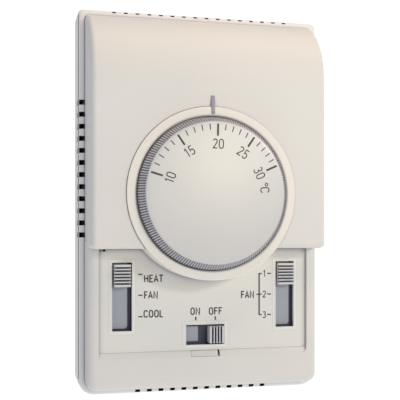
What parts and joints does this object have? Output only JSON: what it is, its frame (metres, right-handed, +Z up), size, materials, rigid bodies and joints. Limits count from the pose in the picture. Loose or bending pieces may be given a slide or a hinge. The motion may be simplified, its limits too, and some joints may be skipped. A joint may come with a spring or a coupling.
{
  "type": "wall thermostat",
  "caption": "Room thermostat for a fan coil: hooded cream cover on a vented rear case, knurled setpoint dial, slide switches for mode, fan speed and power.",
  "frame": {"origin": "middle of the back face, on the wall", "axes": "+Y into the wall, so the front looks along -Y; +Z up; +X to the viewer's right"},
  "size_m": [0.0848, 0.034, 0.13],
  "materials": {
    "case_plastic": "fine textured moulding",
    "cover_plastic": "fine textured moulding",
    "bezel_plastic": "satin moulding",
    "panel_plastic": "satin moulding",
    "dial_plastic": "satin moulding",
    "knob_plastic": "smooth moulding",
    "pointer_ink": "printed bar",
    "blade_plastic": "smooth moulding",
    "bright_steel": "turned and stamped",
    "screw_steel": "zinc plated",
    "plated_steel": "zinc plated sheet",
    "brass_parts": "plain",
    "spring_wire": "drawn wire",
    "cam_plastic": "moulded",
    "phenolic": "punched laminate",
    "board_laminate": "solder mask",
    "dark_plastic": "moulded",
    "button_plastic": "moulded",
    "resistor_body": "lacquered",
    "capacitor_sleeve": "shrink sleeve"
  },
  "bodies": {
    "case": {"rear_case": "case_plastic", "front_cover": "cover_plastic", "dial_bezel": "bezel_plastic", "switch_plate": "panel_plastic", "setpoint_pointer": "pointer_ink", "range_stops": "bright_steel", "lever_pin": "bright_steel", "board_screws": "screw_steel", "frame_screws": "screw_steel", "terminal_screws": "screw_steel", "mech_frame": "plated_steel", "system_switch_shell": "plated_steel", "fan_switch_shell": "plated_steel", "power_switch_shell": "plated_steel", "spindle_bush": "brass_parts", "calibration_screw": "brass_parts", "switch_pins": "brass_parts", "sensing_capsule": "brass_parts", "range_spring": "spring_wire", "system_switch_base": "phenolic", "fan_switch_base": "phenolic", "power_switch_base": "phenolic", "circuit_board": "board_laminate", "snap_switch": "dark_plastic", "terminal_block": "dark_plastic", "anticipator_resistor": "resistor_body", "board_capacitor": "capacitor_sleeve"},
    "dial": {"setpoint_dial": "dial_plastic", "dial_spindle": "bright_steel", "spindle_clip": "bright_steel", "setpoint_cam": "cam_plastic", "stop_arm": "bright_steel"},
    "follower": {"cam_follower": "brass_parts"},
    "lever": {"sensing_lever": "bright_steel"},
    "button": {"snap_button": "button_plastic"},
    "system_carriage": {"system_slider": "knob_plastic", "system_blade": "blade_plastic"},
    "fan_carriage": {"fan_slider": "knob_plastic", "fan_blade": "blade_plastic"},
    "power_carriage": {"power_slider": "knob_plastic", "power_blade": "blade_plastic"},
    "tab": {"release_tab": "cover_plastic"}
  },
  "joints": [
    {"name": "dial_turn", "type": "hinge", "parent": "case", "child": "dial", "pos_m": [0, -0.03, 0.0026], "axis": [0, -1, 0], "range_deg": [-73.3, 65.9]},
    {"name": "follower_slide", "type": "slide", "parent": "case", "child": "follower", "axis": [0, 0, 1], "range_m": [-0.00206, 0.00185], "deforming": ["range_spring"]},
    {"name": "lever_tilt", "type": "hinge", "parent": "case", "child": "lever", "pos_m": [-0.019, -0.0127, 0.011], "axis": [0, 0, 1], "range_deg": [0, 1.4]},
    {"name": "button_press", "type": "slide", "parent": "case", "child": "button", "axis": [0, 1, 0], "range_m": [0, 0.00087]},
    {"name": "system_switch_slide", "type": "slide", "parent": "case", "child": "system_carriage", "axis": [0, 0, -1], "range_m": [0, 0.0142]},
    {"name": "fan_switch_slide", "type": "slide", "parent": "case", "child": "fan_carriage", "axis": [0, 0, -1], "range_m": [0, 0.0142]},
    {"name": "power_switch_slide", "type": "slide", "parent": "case", "child": "power_carriage", "axis": [-1, 0, 0], "range_m": [0, 0.0074]},
    {"name": "release_tab_push", "type": "slide", "parent": "case", "child": "tab", "axis": [0, 1, 0], "range_m": [0, 0.0008], "stiffness_N_per_m": 600}
  ],
  "couplings": [
    {"joint": "follower_slide", "follows": "dial_turn", "m_per_rad": 0.0016},
    {"joint": "button_press", "follows": "lever_tilt", "m_per_rad": 0.035}
  ]
}
